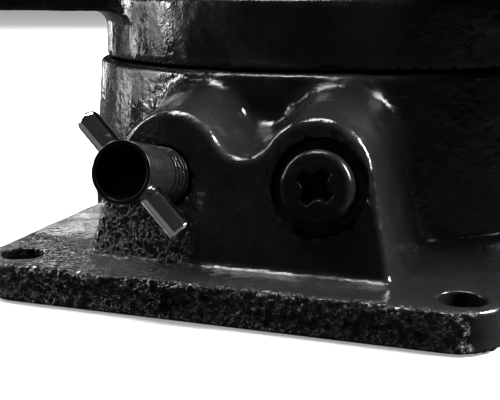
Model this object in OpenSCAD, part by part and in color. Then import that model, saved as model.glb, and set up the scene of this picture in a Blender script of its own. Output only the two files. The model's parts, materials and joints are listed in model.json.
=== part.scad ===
// Machine vise on a round swivel base that locks with a tommy-bar screw.
// Frame: +Z up, -Y is the front with the lock boss, X runs along the bed.
// The origin is on the swivel axis, in the plane of the underside.

/* [Swivel base] */
// Radius of the round wall at its top rim
drum_r = 55; // [52:1:62]
// How far the round wall spreads from rim to foot
drum_draft = 2; // [0:0.5:4]
// Height of the rim above the underside
base_h = 37; // [36:0.5:46]
// Radius of the bore that the spigot turns in
bore_r = 40; // [37:0.5:44]
// Thickness of the front and rear lugs
lug_t = 6.7; // [5:0.1:8]
// Width of the lugs
lug_w = 88; // [84:1:100]
// How far a lug reaches past the rim
lug_out = 30.2; // [28:0.2:40]
// Radius of the lug corners
lug_corner = 8; // [4:1:12]
// Radius of the four mounting holes
mount_r = 3.5; // [2.5:0.25:4]
// Distance from a mounting hole's axis to each of its two lug edges
mount_edge = 6.6; // [6:0.2:9]

/* [Lock boss] */
// How far the boss face stands off the rim at screw height
boss_out = 17.8; // [17:0.2:22]
// Height of both screws where they meet the face
screw_z = 20.7; // [20:0.1:23]
// How far the face leans back, in degrees
lean = 13; // [11:0.5:14]
// Distance between the two screws
screw_gap = 27.3; // [26:0.1:29]
// Distance between the centres of the two lobes
lobe_gap = 25.2; // [24:0.2:28]
// Radius of each lobe
lobe_r = 10; // [9:0.5:10.5]
// Height of the valley between the lobes, above their centres
valley_h = 3.5; // [2:0.25:5]
// Slope at which the lobes climb back to the round wall, in degrees
top_slope = 12; // [8:1:14]
// Flare of the boss sides towards the foot, in degrees
flank_flare = 15; // [5:1:20]

/* [Lock screw] */
// Radius of the lock screw
lock_r = 5; // [4.5:0.25:5.5]
// How far the lock screw stands out of the face
lock_out = 15.4; // [14:0.2:20]
// Radius of the cup in the end of the lock screw
cup_r = 4.3; // [3:0.1:4.4]
// Depth of the cup
cup_depth = 2; // [1:0.1:2]
// Distance from the cup's rim to the axis of the tommy bar
bar_setback = 4.2; // [4.2:0.1:5]
// Radius of the tommy bar
bar_r = 1.95; // [1.5:0.05:2]
// Length of the tommy bar
bar_l = 25; // [22:1:30]
// Turn of the tommy bar from the face's upright, in degrees
bar_turn = 46.5; // [0:0.5:90]

/* [Retaining screw] */
// Radius of the retaining screw's shank
keep_r = 3; // [2.5:0.25:3.5]
// Radius of its pan head
keep_head_r = 6; // [5:0.25:6.5]
// Height of its pan head
keep_head_h = 4.6; // [4:0.2:5]
// How far the head stands proud of the face
keep_proud = 2.76; // [2:0.02:3]
// Radius of the counterbore round the head
keep_bore_r = 7.9; // [7.2:0.1:8.2]
// Width across the wings of the cross recess
recess_w = 6.6; // [5:0.1:7]
// Depth of the cross recess
recess_depth = 2.2; // [1:0.1:2.6]

/* [Spigot] */
// Wall of the hollow spigot
spigot_wall = 11; // [9:0.5:14]
// Distance from the underside to the spigot's lower end
spigot_lift = 4; // [2:0.5:6]
// Depth of the ring groove that both screws reach into
groove_d = 5; // [4.5:0.25:6]
// Width of the groove at its floor
groove_floor = 8; // [7:0.5:9]
// Width of the groove at its mouth
groove_mouth = 12; // [11:0.5:13]

/* [Vise body] */
// Radius of the round skirt under the body
skirt_r = 53.5; // [50:0.5:54]
// Height of the skirt
skirt_h = 10; // [8:0.5:14]
// Width across the ways
bed_w = 92; // [84:1:100]
// Height of the bed above the skirt
bed_h = 23; // [22:1:30]
// Width across both jaws
jaw_w = 100; // [92:1:110]
// Height of the jaws above the ways
jaw_h = 34; // [33:1:40]
// Thickness of the fixed jaw at its top
fixed_t = 24; // [20:1:30]
// Distance from the swivel axis back to the fixed jaw's seat
fixed_x = 68; // [60:1:76]
// Thickness of the end bracket that holds the screw bush
bracket_t = 20; // [16:1:26]
// Distance from the swivel axis to the bracket's inner face
bracket_x = 95; // [94:1:110]

/* [Jaws] */
// Thickness of the hardened jaw plates
plate_t = 8; // [6:0.5:8]
// Gap between the jaw plates as drawn
jaw_gap = 40; // [20:1:42]
// Length of the moving jaw along the bed
moving_l = 44; // [38:1:46]
// Width of the slot between the ways
slot_w = 24; // [22:0.5:28]
// Thickness of the ways over the keeper channel
way_t = 8; // [7:0.5:9]
// Width of the keeper channel under the ways
channel_w = 44; // [40:1:50]
// Height of the keeper channel
channel_h = 8; // [7:0.5:9]
// Radius of the jaw plate screws
plate_screw_r = 3; // [2.5:0.25:3.5]
// Distance between the two screws of a jaw plate
plate_screw_gap = 60; // [50:1:70]
// Radius of the keeper bolts
keeper_bolt_r = 3; // [2.5:0.25:3]

/* [Lead screw] */
// Radius of the lead screw over its thread
lead_r = 8; // [7:0.25:8.5]
// Height of the lead screw above the ways
lead_h = 16; // [15:0.5:18]
// Radius of the nose that sits in the moving jaw
nose_r = 6; // [5:0.25:6.5]
// Length of the nose
nose_l = 18; // [14:0.5:20]
// Radius of the neck that the retainer fork holds
neck_r = 4; // [3.5:0.25:4.5]
// Radius of the bronze bush in the bracket
bush_r = 12; // [11:0.5:13]
// Radius of the handle hub
hub_r = 13; // [12:0.5:15]
// Length of the handle hub
hub_l = 26; // [25:0.5:30]
// Radius of the handle bar
handle_r = 5; // [4:0.25:5.5]
// Length of the handle bar
handle_l = 130; // [110:2:150]
// Radius of the knob on each end of the handle bar
knob_r = 8; // [7:0.5:9]

/* [Hidden] */

$fn = 96;
eps = 0.01;
run_clear = 0.05;      // radial clearance of every running or screwed fit
slide_clear = 0.1;     // clearance of every flat sliding fit
seat_clear = 0.3;      // clearance of a head in its counterbore

// Places that several pieces share
face_r = drum_r + boss_out;
lug_reach = drum_r + lug_out;
mount_x = lug_w / 2 - mount_edge;
mount_y = lug_reach - mount_edge;
lock_x = -screw_gap / 2;
keep_x = screw_gap / 2;
skirt_z = base_h + slide_clear;
bed_z = skirt_z + skirt_h;
way_z = bed_z + bed_h;
jaw_top = way_z + jaw_h;
lead_z = way_z + lead_h;
plate_x = plate_t - fixed_x;
moving_plate_x = plate_x + jaw_gap;
moving_x = moving_plate_x + plate_t;
moving_back = moving_x + moving_l;
bracket_end = bracket_x + bracket_t;

// Boss outline: each lobe is a circle, the valley an arc tangent to both
lobe_x = lobe_gap / 2;
valley_reach = lobe_r - valley_h;
valley_c = (lobe_x * lobe_x - valley_reach * valley_reach) / (2 * valley_reach);
valley_r = valley_c - valley_h;
valley_turn = atan(valley_c / lobe_x);
flank_x = lobe_x + lobe_r * cos(flank_flare);
flank_y = lobe_r * sin(flank_flare);
foot_drop = screw_z + 5;
foot_x = flank_x + (flank_y + foot_drop) * tan(flank_flare);

// How far in from the face each screw point lies, so that it just enters the groove
spigot_r = bore_r - run_clear;
spigot_front = sqrt(bore_r * bore_r - lock_x * lock_x);
spigot_run = (face_r - spigot_front) / cos(lean);
hole_run = spigot_run + lock_r;
keep_tip = spigot_run + 2.2;
plug_r = lock_r - 0.2;
plug_nose = 3.4;
plug_tip = spigot_run + 1.3;
plug_l = 10;
groove_z = screw_z - spigot_run * sin(lean) - 0.5;
lock_inner = plug_tip - plug_l;

// Lead screw stations, all counted from the moving jaw's rear face
retainer_t = 3;
neck_play = 0.1;
thread_x = moving_back + retainer_t + neck_play;
nose_x = moving_back - neck_play - nose_l;
pad_t = 3;
lead_end = bracket_end + jaw_gap + 5;
stub_r = nose_r;
stub_l = 8;
bar_x = lead_end + hub_l - handle_r - 4.5;
pin_r = 1.5;
pin_x = lead_end + 4.2;

// Keeper bolts and retainer screws
keeper_y = 7.4;
keeper_x = moving_x + 8;
keeper_t = channel_h - 0.6;
keeper_head_r = 5;
keeper_head_h = 6;
retainer_y = 12;
retainer_dz = 6;

black = [0.035, 0.035, 0.04];
steel = [0.62, 0.63, 0.65];
dark_steel = [0.2, 0.2, 0.21];
brass = [0.78, 0.6, 0.3];

// Puts its children on the boss face: local +Z points out, +Y up the face
module on_face(x) {
    translate([x, -face_r, screw_z]) rotate([90 - lean, 0, 0]) children();
}

// A cylinder along +X from x0 to x1
module x_rod(r, x0, x1, y = 0, z = 0) {
    translate([x0, y, z]) rotate([0, 90, 0]) cylinder(r = r, h = x1 - x0);
}

// A block between two x stations, centred on Y
module x_block(x0, x1, w, z0, z1) {
    translate([x0, -w / 2, z0]) cube([x1 - x0, w, z1 - z0]);
}

// A hexagon socket cut into a screw head at the local origin, going down
module hex_socket(across, depth) {
    translate([0, 0, -depth]) cylinder(d = across / cos(30), h = depth + 1, $fn = 6);
}

// Points along an arc, without its last one
function arc(x, y, r, a0, a1, n) =
    [for (i = [0 : n - 1]) let (a = a0 + (a1 - a0) * i / n) [x + r * cos(a), y + r * sin(a)]];

// Half the outline on the right: foot, flank, lobe and half of the valley
function half_outline(n) = concat(
    [[foot_x, -foot_drop]],
    arc(lobe_x, 0, lobe_r, flank_flare, 180 - valley_turn, n),
    arc(0, valley_c, valley_r, -valley_turn, -90, n / 2)
);

module boss_outline() {
    right = half_outline(24);
    last = len(right) - 1;
    left = [for (i = [last : -1 : 0]) [-right[i][0], right[i][1]]];
    polygon(concat(right, [[0, valley_h]], left));
}

module boss_block() {
    reach = 2 * face_r;
    intersection() {
        translate([0, -face_r, screw_z]) rotate([90 + top_slope, 0, 0])
            translate([0, 0, -boss_out - drum_r + bore_r + 2])
                linear_extrude(boss_out + drum_r - bore_r + 10) boss_outline();
        on_face(0) translate([-reach / 2, -reach / 2, -reach]) cube(reach);
        translate([-reach / 2, -reach, 0]) cube([reach, reach, base_h - 1]);
    }
}

module lug_plate() {
    inner_w = lug_w - 2 * lug_corner;
    inner_l = 2 * (lug_reach - lug_corner);
    linear_extrude(lug_t) {
        square([lug_w, inner_l], center = true);
        square([inner_w, 2 * lug_reach], center = true);
        for (sx = [-1, 1], sy = [-1, 1])
            translate([sx * inner_w / 2, sy * inner_l / 2]) circle(lug_corner);
    }
}

module base_casting() {
    rim_round = 1.5;
    color(black) difference() {
        union() {
            rotate_extrude() polygon([
                [0, 0], [drum_r + drum_draft, 0], [drum_r + drum_draft, lug_t],
                [drum_r, base_h - rim_round], [drum_r - rim_round, base_h], [0, base_h]
            ]);
            lug_plate();
            boss_block();
        }
        translate([0, 0, -1]) cylinder(r = bore_r, h = base_h + 2);
        for (sx = [-1, 1], sy = [-1, 1])
            translate([sx * mount_x, sy * mount_y, -1]) cylinder(r = mount_r, h = lug_t + 2);
        on_face(lock_x) translate([0, 0, -hole_run]) cylinder(r = lock_r + run_clear, h = hole_run + 10);
        on_face(keep_x) {
            translate([0, 0, -hole_run]) cylinder(r = keep_r + run_clear, h = hole_run);
            translate([0, 0, keep_proud - keep_head_h]) cylinder(r = keep_bore_r, h = 20);
        }
    }
}

module lock_screw() {
    color(dark_steel) on_face(lock_x) difference() {
        translate([0, 0, -lock_inner]) cylinder(r = lock_r, h = lock_inner + lock_out);
        translate([0, 0, lock_out - cup_depth]) cylinder(r = cup_r, h = cup_depth + 1);
        translate([0, 0, lock_out - bar_setback]) rotate([0, 0, bar_turn])
            rotate([90, 0, 0]) cylinder(r = bar_r + run_clear, h = 4 * lock_r, center = true);
    }
}

module lock_bar() {
    color(steel) on_face(lock_x) translate([0, 0, lock_out - bar_setback])
        rotate([0, 0, bar_turn]) rotate([90, 0, 0])
            cylinder(r = bar_r, h = bar_l, center = true);
}

module brake_plug() {
    color(brass) on_face(lock_x) translate([0, 0, -plug_tip]) {
        cylinder(r1 = 2, r2 = plug_r, h = plug_nose);
        translate([0, 0, plug_nose]) cylinder(r = plug_r, h = plug_l - plug_nose);
    }
}

// The cross recess: four blunt wings with a notch between each pair
module cross_recess() {
    tip = recess_w / 2;
    tip_half = 0.75;
    notch = 1.35;
    turn = 54;
    translate([0, 0, -recess_depth]) linear_extrude(recess_depth + 1) polygon([
        for (i = [0 : 3], p = [[tip, -tip_half], [tip, tip_half], [notch, notch]])
            let (a = turn + 90 * i) [p[0] * cos(a) - p[1] * sin(a), p[0] * sin(a) + p[1] * cos(a)]
    ]);
}

module retaining_screw() {
    color(dark_steel) on_face(keep_x) difference() {
        union() {
            translate([0, 0, -keep_tip]) cylinder(r = keep_r - 1, h = 4);
            translate([0, 0, -keep_tip + 4]) cylinder(r = keep_r, h = keep_tip - 4 + eps);
            translate([0, 0, keep_proud - keep_head_h]) cylinder(r = keep_head_r, h = keep_head_h);
        }
        translate([0, 0, keep_proud]) cross_recess();
    }
}

module spigot() {
    inner = spigot_r - spigot_wall;
    roof = 6;
    floor_half = groove_floor / 2;
    mouth_half = groove_mouth / 2;
    rotate_extrude() polygon([
        [inner, spigot_lift], [spigot_r, spigot_lift],
        [spigot_r, groove_z - mouth_half], [spigot_r - groove_d, groove_z - floor_half],
        [spigot_r - groove_d, groove_z + floor_half], [spigot_r, groove_z + mouth_half],
        [spigot_r, skirt_z + roof], [inner, skirt_z + roof]
    ]);
}

// Section of the bed: wide ways over a narrower web
module bed_section() {
    half = bed_w / 2;
    web = half - 6;
    translate([-web, 0]) square([2 * web, bed_h]);
    polygon([
        [-web, bed_h - way_t - 8], [-half, bed_h - way_t - 2], [-half, bed_h],
        [half, bed_h], [half, bed_h - way_t - 2], [web, bed_h - way_t - 8]
    ]);
}

module bracket_block() {
    boss_r = bush_r + 8;
    x_rod(boss_r, bracket_x, bracket_end, 0, lead_z);
    x_block(bracket_x, bracket_end, 2 * boss_r, bed_z, lead_z);
    x_block(bracket_x, bracket_end, bed_w, bed_z, way_z + 4);
}

module fixed_jaw_block() {
    foot_t = fixed_t + 13;
    translate([0, jaw_w / 2, 0]) rotate([90, 0, 0]) linear_extrude(jaw_w) polygon([
        [-fixed_x, bed_z + 13], [-fixed_x, jaw_top], [-fixed_x - fixed_t, jaw_top],
        [-fixed_x - foot_t, jaw_top - 16], [-fixed_x - foot_t, bed_z + 13]
    ]);
}

module vise_body() {
    roof = 6;
    bed_back = -fixed_x - fixed_t - 13;
    channel_z = way_z - way_t - channel_h;
    channel_x = moving_x - jaw_gap - 8;
    color(black) difference() {
        union() {
            spigot();
            translate([0, 0, skirt_z]) cylinder(r = skirt_r, h = skirt_h + eps);
            translate([bed_back, 0, bed_z]) rotate([90, 0, 90])
                linear_extrude(bracket_end - bed_back) bed_section();
            fixed_jaw_block();
            bracket_block();
        }
        translate([0, 0, -1]) cylinder(r = spigot_r - spigot_wall, h = skirt_z + roof + 1);
        x_block(channel_x, bracket_end + 1, channel_w, channel_z, channel_z + channel_h);
        x_block(channel_x, bracket_x - 3, slot_w, channel_z, way_z + 1);
        x_rod(bush_r + run_clear, bracket_x - 1, bracket_end + 1, 0, lead_z);
        translate([bracket_x + bracket_t / 2, 0, lead_z])
            cylinder(r = 2.5 + run_clear, h = bush_r + 20);
        for (side = [-1, 1])
            x_rod(plate_screw_r + run_clear, -fixed_x - 14, -fixed_x + 1,
                side * plate_screw_gap / 2, lead_z);
    }
}

// A hardened jaw plate with fine grooves; its back lies at x = 0, its face points +X
module jaw_plate() {
    foot = 0.3;
    pitch = 6;
    groove = 0.6;
    count = floor((jaw_h - foot) / pitch) - 1;
    difference() {
        translate([0, -jaw_w / 2, way_z + foot]) cube([plate_t, jaw_w, jaw_h - foot]);
        for (i = [1 : count])
            translate([plate_t - groove, -jaw_w / 2 - 1, way_z + foot + i * pitch])
                cube([groove + 1, jaw_w + 2, 0.8]);
        for (side = [-1, 1]) {
            x_rod(plate_screw_r + run_clear, -1, plate_t + 1, side * plate_screw_gap / 2, lead_z);
            x_rod(2 * plate_screw_r, plate_t - 4.5, plate_t + 1, side * plate_screw_gap / 2, lead_z);
        }
    }
}

// The two socket screws of a jaw plate, in the plate's own frame
module plate_screws() {
    for (side = [-1, 1]) translate([0, side * plate_screw_gap / 2, lead_z]) {
        difference() {
            union() {
                x_rod(plate_screw_r, -12, plate_t - 4.5 + eps);
                x_rod(2 * plate_screw_r - seat_clear, plate_t - 4.5, plate_t - 1);
            }
            translate([plate_t - 1, 0, 0]) rotate([0, 90, 0]) hex_socket(4, 2.4);
        }
    }
}

module fixed_jaw_plate() {
    color(steel) translate([-fixed_x, 0, 0]) jaw_plate();
}

module fixed_plate_screws() {
    color(dark_steel) translate([-fixed_x, 0, 0]) plate_screws();
}

module moving_jaw_plate() {
    color(steel) translate([moving_x, 0, 0]) mirror([1, 0, 0]) jaw_plate();
}

module moving_plate_screws() {
    color(dark_steel) translate([moving_x, 0, 0]) mirror([1, 0, 0]) plate_screws();
}

module moving_jaw() {
    tongue_z = way_z - way_t;
    color(black) difference() {
        union() {
            x_block(moving_x, moving_back, jaw_w, way_z + slide_clear, jaw_top);
            x_block(moving_x, moving_back, slot_w - 2 * slide_clear, tongue_z, way_z + 1);
        }
        x_rod(nose_r + run_clear, nose_x - pad_t - neck_play, moving_back + 1, 0, lead_z);
        for (side = [-1, 1]) {
            translate([keeper_x, side * keeper_y, tongue_z - 1])
                cylinder(r = keeper_bolt_r + run_clear, h = jaw_h + way_t + 2);
            translate([keeper_x, side * keeper_y, jaw_top - keeper_head_h - 1])
                cylinder(r = keeper_head_r + seat_clear, h = keeper_head_h + 2);
            x_rod(plate_screw_r + run_clear, moving_x - 1, moving_x + 14,
                side * plate_screw_gap / 2, lead_z);
            x_rod(2 + run_clear, moving_back - 10, moving_back + 1,
                side * retainer_y, lead_z + retainer_dz);
        }
    }
}

module jaw_keeper() {
    top = way_z - way_t - slide_clear;
    color(dark_steel) difference() {
        x_block(moving_x + 1, moving_back - 1, channel_w - 1, top - keeper_t, top);
        for (side = [-1, 1]) translate([keeper_x, side * keeper_y, top - keeper_t - 1])
            cylinder(r = keeper_bolt_r + run_clear, h = keeper_t + 2);
    }
}

module keeper_bolts() {
    head_z = jaw_top - keeper_head_h - 1;
    foot_z = way_z - way_t - keeper_t + 1;
    color(dark_steel) for (side = [-1, 1]) translate([keeper_x, side * keeper_y, 0])
        difference() {
            union() {
                translate([0, 0, foot_z]) cylinder(r = keeper_bolt_r, h = head_z - foot_z + eps);
                translate([0, 0, head_z]) cylinder(r = keeper_head_r, h = keeper_head_h);
            }
            translate([0, 0, head_z + keeper_head_h]) hex_socket(5, 3);
        }
}

module lead_screw() {
    color(steel) difference() {
        union() {
            x_rod(nose_r, nose_x, moving_back - neck_play, 0, lead_z);
            x_rod(neck_r, moving_back - neck_play - eps, thread_x + eps, 0, lead_z);
            x_rod(lead_r, thread_x, lead_end, 0, lead_z);
            x_rod(stub_r, lead_end - eps, lead_end + stub_l, 0, lead_z);
        }
        translate([pin_x, 0, lead_z]) cylinder(r = pin_r + run_clear, h = 4 * hub_r, center = true);
    }
}

module screw_bush() {
    flange_t = 4;
    color(brass) difference() {
        union() {
            x_rod(bush_r, bracket_x - eps, bracket_end, 0, lead_z);
            x_rod(bush_r + 4, bracket_x - flange_t, bracket_x, 0, lead_z);
        }
        x_rod(lead_r + run_clear, bracket_x - flange_t - 1, bracket_end + 1, 0, lead_z);
        translate([bracket_x + bracket_t / 2, 0, lead_z + bush_r - 1.5])
            cylinder(r = 2.5 + run_clear, h = 5);
    }
}

module bush_set_screw() {
    set_l = 7;
    color(dark_steel) translate([bracket_x + bracket_t / 2, 0, lead_z + bush_r - 1.4])
        difference() {
            cylinder(r = 2.5, h = set_l);
            translate([0, 0, set_l]) hex_socket(2.5, 2.5);
        }
}

module screw_retainer() {
    slot = neck_r + slide_clear;
    color(dark_steel) difference() {
        x_block(moving_back, moving_back + retainer_t, 36, lead_z - 12, lead_z + 14);
        x_rod(slot, moving_back - 1, moving_back + retainer_t + 1, 0, lead_z);
        x_block(moving_back - 1, moving_back + retainer_t + 1, 2 * slot, lead_z - 13, lead_z);
        for (side = [-1, 1])
            x_rod(2 + run_clear, moving_back - 1, moving_back + retainer_t + 1,
                side * retainer_y, lead_z + retainer_dz);
    }
}

module retainer_screws() {
    head_t = 2.6;
    head_x = moving_back + retainer_t;
    color(steel) for (side = [-1, 1])
        translate([0, side * retainer_y, lead_z + retainer_dz]) difference() {
            union() {
                x_rod(2, moving_back - 8, head_x + eps);
                x_rod(3.6, head_x, head_x + head_t);
            }
            translate([head_x + head_t - 1, -4, -0.5]) cube([2, 8, 1]);
        }
}

module thrust_pad() {
    color(steel) x_rod(nose_r - run_clear, nose_x - pad_t, nose_x - neck_play / 2, 0, lead_z);
}

module handle_hub() {
    color(dark_steel) difference() {
        x_rod(hub_r, lead_end + neck_play, lead_end + hub_l, 0, lead_z);
        x_rod(stub_r + run_clear, lead_end - 1, lead_end + stub_l + 0.5, 0, lead_z);
        translate([bar_x, 0, lead_z]) rotate([90, 0, 0])
            cylinder(r = handle_r + slide_clear, h = 4 * hub_r, center = true);
        translate([pin_x, 0, lead_z]) cylinder(r = pin_r + run_clear, h = 4 * hub_r, center = true);
    }
}

module hub_pin() {
    color(steel) translate([pin_x, 0, lead_z])
        cylinder(r = pin_r, h = 2 * hub_r - 1, center = true);
}

module handle_bar() {
    color(steel) translate([bar_x, 0, lead_z]) rotate([90, 0, 0])
        cylinder(r = handle_r, h = handle_l, center = true);
}

module handle_knobs() {
    knob_l = 12;
    grip = 9;
    color(steel) for (side = [-1, 1]) translate([bar_x, 0, lead_z])
        rotate([side * 90, 0, 0]) translate([0, 0, handle_l / 2 - grip]) difference() {
            cylinder(r = knob_r, h = knob_l);
            translate([0, 0, -1]) cylinder(r = handle_r + run_clear, h = grip + 1 + slide_clear);
        }
}

base_casting();
lock_screw();
lock_bar();
brake_plug();
retaining_screw();
vise_body();
fixed_jaw_plate();
fixed_plate_screws();
moving_jaw();
moving_jaw_plate();
moving_plate_screws();
jaw_keeper();
keeper_bolts();
lead_screw();
screw_bush();
bush_set_screw();
screw_retainer();
retainer_screws();
thrust_pad();
handle_hub();
hub_pin();
handle_bar();
handle_knobs();
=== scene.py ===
"""Looks for a machine vise on a locking swivel base, laid out as a Blender add-on and run as a script."""

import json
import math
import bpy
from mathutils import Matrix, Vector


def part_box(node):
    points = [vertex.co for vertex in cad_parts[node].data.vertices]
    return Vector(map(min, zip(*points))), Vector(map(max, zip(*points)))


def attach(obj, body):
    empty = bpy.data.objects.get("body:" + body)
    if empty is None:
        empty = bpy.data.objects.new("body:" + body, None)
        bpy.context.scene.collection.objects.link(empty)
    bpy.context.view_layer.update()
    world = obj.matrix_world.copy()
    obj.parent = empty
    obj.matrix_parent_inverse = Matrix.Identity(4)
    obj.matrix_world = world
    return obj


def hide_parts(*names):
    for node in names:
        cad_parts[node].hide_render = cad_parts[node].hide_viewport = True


bl_info = {
    "name": "Machine vise on a swivel base",
    "version": (1, 0, 0),
    "blender": (4, 5, 0),
    "location": "View3D > Sidebar > Vise",
    "description": "Builds the castings, screws, handle and studio of a machine vise round its CAD frame",
    "category": "Object",
}

import bpy
import numpy as np
from bpy.props import FloatProperty, FloatVectorProperty, PointerProperty
from bpy.types import Operator, Panel, PropertyGroup
from mathutils import Matrix, Vector

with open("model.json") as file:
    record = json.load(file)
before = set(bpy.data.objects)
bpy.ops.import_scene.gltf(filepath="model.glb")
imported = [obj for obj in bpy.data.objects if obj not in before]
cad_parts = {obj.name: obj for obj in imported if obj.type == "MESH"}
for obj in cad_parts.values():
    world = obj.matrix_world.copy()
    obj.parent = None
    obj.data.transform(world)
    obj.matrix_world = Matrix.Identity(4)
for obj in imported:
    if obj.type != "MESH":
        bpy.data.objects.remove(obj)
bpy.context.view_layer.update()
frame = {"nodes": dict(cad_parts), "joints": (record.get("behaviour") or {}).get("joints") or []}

MM = 0.001


def span(node):
    """The lowest and highest corners of a CAD node, in millimetres."""
    low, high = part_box(node)
    return np.array(low) / MM, np.array(high) / MM


BASE_HIGH = span("base_casting")[1]
BODY_LOW, BODY_HIGH = span("vise_body")
JAW_LOW, JAW_HIGH = span("moving_jaw")
LEAD_LOW, LEAD_HIGH = span("lead_screw")
HUB_LOW, HUB_HIGH = span("handle_hub")
BAR_LOW, BAR_HIGH = span("handle_bar")
PLATE_LOW, PLATE_HIGH = span("fixed_jaw_plate")


def joint(name):
    """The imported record's entry for one joint."""
    return next(entry for entry in frame["joints"] if entry["name"] == name)


OUT = np.array(joint("lock_turn")["axis"])
UP = np.array([0.0, -OUT[2] * OUT[1] / abs(OUT[1]), abs(OUT[1])])
SIDE = np.array([1.0, 0.0, 0.0])
LOCK_FOOT = np.array(joint("lock_turn")["pos_m"]) / MM
KEEP_FOOT = LOCK_FOOT * np.array([-1.0, 1.0, 1.0])
LEAD_Z = joint("screw_turn")["pos_m"][2] / MM


# ---------------------------------------------------------------- sizes that a user would change


class CastingSizes(PropertyGroup):
    """Sizes of the castings, in millimetres."""

    fillet: FloatProperty(
        name="Fillet", description="Radius where the boss runs into the wall", default=2.6
    )
    foot_fillet: FloatProperty(
        name="Foot fillet", description="Radius where wall and boss meet the lugs", default=1.2
    )
    face_edge: FloatProperty(
        name="Face edge", description="Radius of the edge round the boss face", default=1.25
    )
    rim_edge: FloatProperty(
        name="Rim edge", description="Radius of the edge along the rim", default=1.3
    )
    roughness: FloatProperty(
        name="Cast roughness", description="Depth of the sand-cast texture", default=0.05
    )
    chips: FloatProperty(
        name="Chips", description="Depth of the chips round the holes", default=0.2
    )


class ScrewSizes(PropertyGroup):
    """Sizes of the screws and the handle, in millimetres."""

    lock_pitch: FloatProperty(
        name="Lock screw pitch", description="Distance between two crests of the lock screw", default=1.5
    )
    lock_threaded: FloatProperty(
        name="Thread in sight", description="How far the thread shows out of the face", default=6.6
    )
    lead_pitch: FloatProperty(
        name="Lead screw pitch", description="Distance between two crests of the lead screw", default=4.0
    )


class FinishColours(PropertyGroup):
    """Colours of the finishes."""

    paint: FloatVectorProperty(
        name="Paint", description="Black gloss on the castings", subtype="COLOR",
        default=(0.012, 0.012, 0.0122),
    )
    steel: FloatVectorProperty(
        name="Bright steel", description="Polished and ground steel", subtype="COLOR",
        default=(0.42, 0.42, 0.43),
    )
    blackened: FloatVectorProperty(
        name="Blackened steel", description="Oiled black screws", subtype="COLOR",
        default=(0.013, 0.013, 0.0135),
    )
    bronze: FloatVectorProperty(
        name="Bronze", description="Lead screw bush and brake plug", subtype="COLOR",
        default=(0.55, 0.36, 0.16),
    )


# ---------------------------------------------------------------- distances


def both(a, b, r=0.0):
    """What lies inside a and b: the larger distance, with the edge rounded to radius r by a circle."""
    if r == 0:
        return np.maximum(a, b)
    return np.minimum(-r, np.maximum(a, b)) + np.hypot(np.maximum(a + r, 0), np.maximum(b + r, 0))


def either(a, b, r=0.0):
    """What lies inside a or b: the smaller distance, with the corner filled to radius r by a circle."""
    if r == 0:
        return np.minimum(a, b)
    return np.maximum(r, np.minimum(a, b)) - np.hypot(np.maximum(r - a, 0), np.maximum(r - b, 0))


def without(a, b, r=0.0):
    """What lies inside a and outside b, with the edge rounded to radius r."""
    return both(a, -b, r)


def slab(v, low, high, r=0.0):
    """Distance to the layer between two levels of v."""
    return both(low - v, v - high, r)


def rod(x, y, z, foot, axis):
    """Distance from the line through foot along the unit vector axis, and the place along that line."""
    dx, dy, dz = x - foot[0], y - foot[1], z - foot[2]
    along = dx * axis[0] + dy * axis[1] + dz * axis[2]
    away = np.sqrt(np.maximum(dx * dx + dy * dy + dz * dz - along * along, 0))
    return away, along


def waves(x, y, z, size, seed):
    """A smooth random field near -1 to 1: a sum of sine waves of about that size in seeded directions."""
    count = 14
    rng = np.random.default_rng(seed)
    aim = rng.normal(size=(count, 3))
    aim *= (2 * np.pi / size * rng.uniform(0.6, 1.5, count) / np.linalg.norm(aim, axis=1))[:, None]
    phase = rng.uniform(0, 2 * np.pi, count)
    total = sum(np.sin(a[0] * x + a[1] * y + a[2] * z + p) for a, p in zip(aim, phase))
    return total / math.sqrt(count)


def fade(v, low, high):
    """0 below low, 1 above high, and smooth between them."""
    t = np.clip((v - low) / (high - low), 0, 1)
    return t * t * (3 - 2 * t)


# ---------------------------------------------------------------- meshes


def new_object(name, points, faces, normals=None):
    """Puts points in millimetres and faces into a smooth-shaded mesh object at the origin."""
    mesh = bpy.data.meshes.new(name)
    mesh.from_pydata((np.asarray(points) * MM).tolist(), [], faces)
    mesh.polygons.foreach_set("use_smooth", np.ones(len(mesh.polygons), bool))
    if normals is not None:
        mesh.normals_split_custom_set_from_vertices(normals.tolist())
    mesh.validate(clean_customdata=False)
    mesh.update()
    piece = bpy.data.objects.new(name, mesh)
    bpy.context.scene.collection.objects.link(piece)
    return piece


def stations(*stretches):
    """Grid levels along one axis: each stretch is (start, end, step), and the last one adds its end."""
    runs = [np.linspace(a, b, max(2, round((b - a) / s) + 1))[:-1] for a, b, s in stretches]
    return np.concatenate(runs + [[stretches[-1][1]]])


def slope(field, points, step):
    """The gradient of a field at points, by central differences."""
    columns = []
    for axis in range(3):
        shift = np.zeros(3)
        shift[axis] = step
        ahead, behind = (points + shift).T, (points - shift).T
        columns.append((field(*ahead) - field(*behind)) / (2 * step))
    return np.stack(columns, axis=1)


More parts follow.
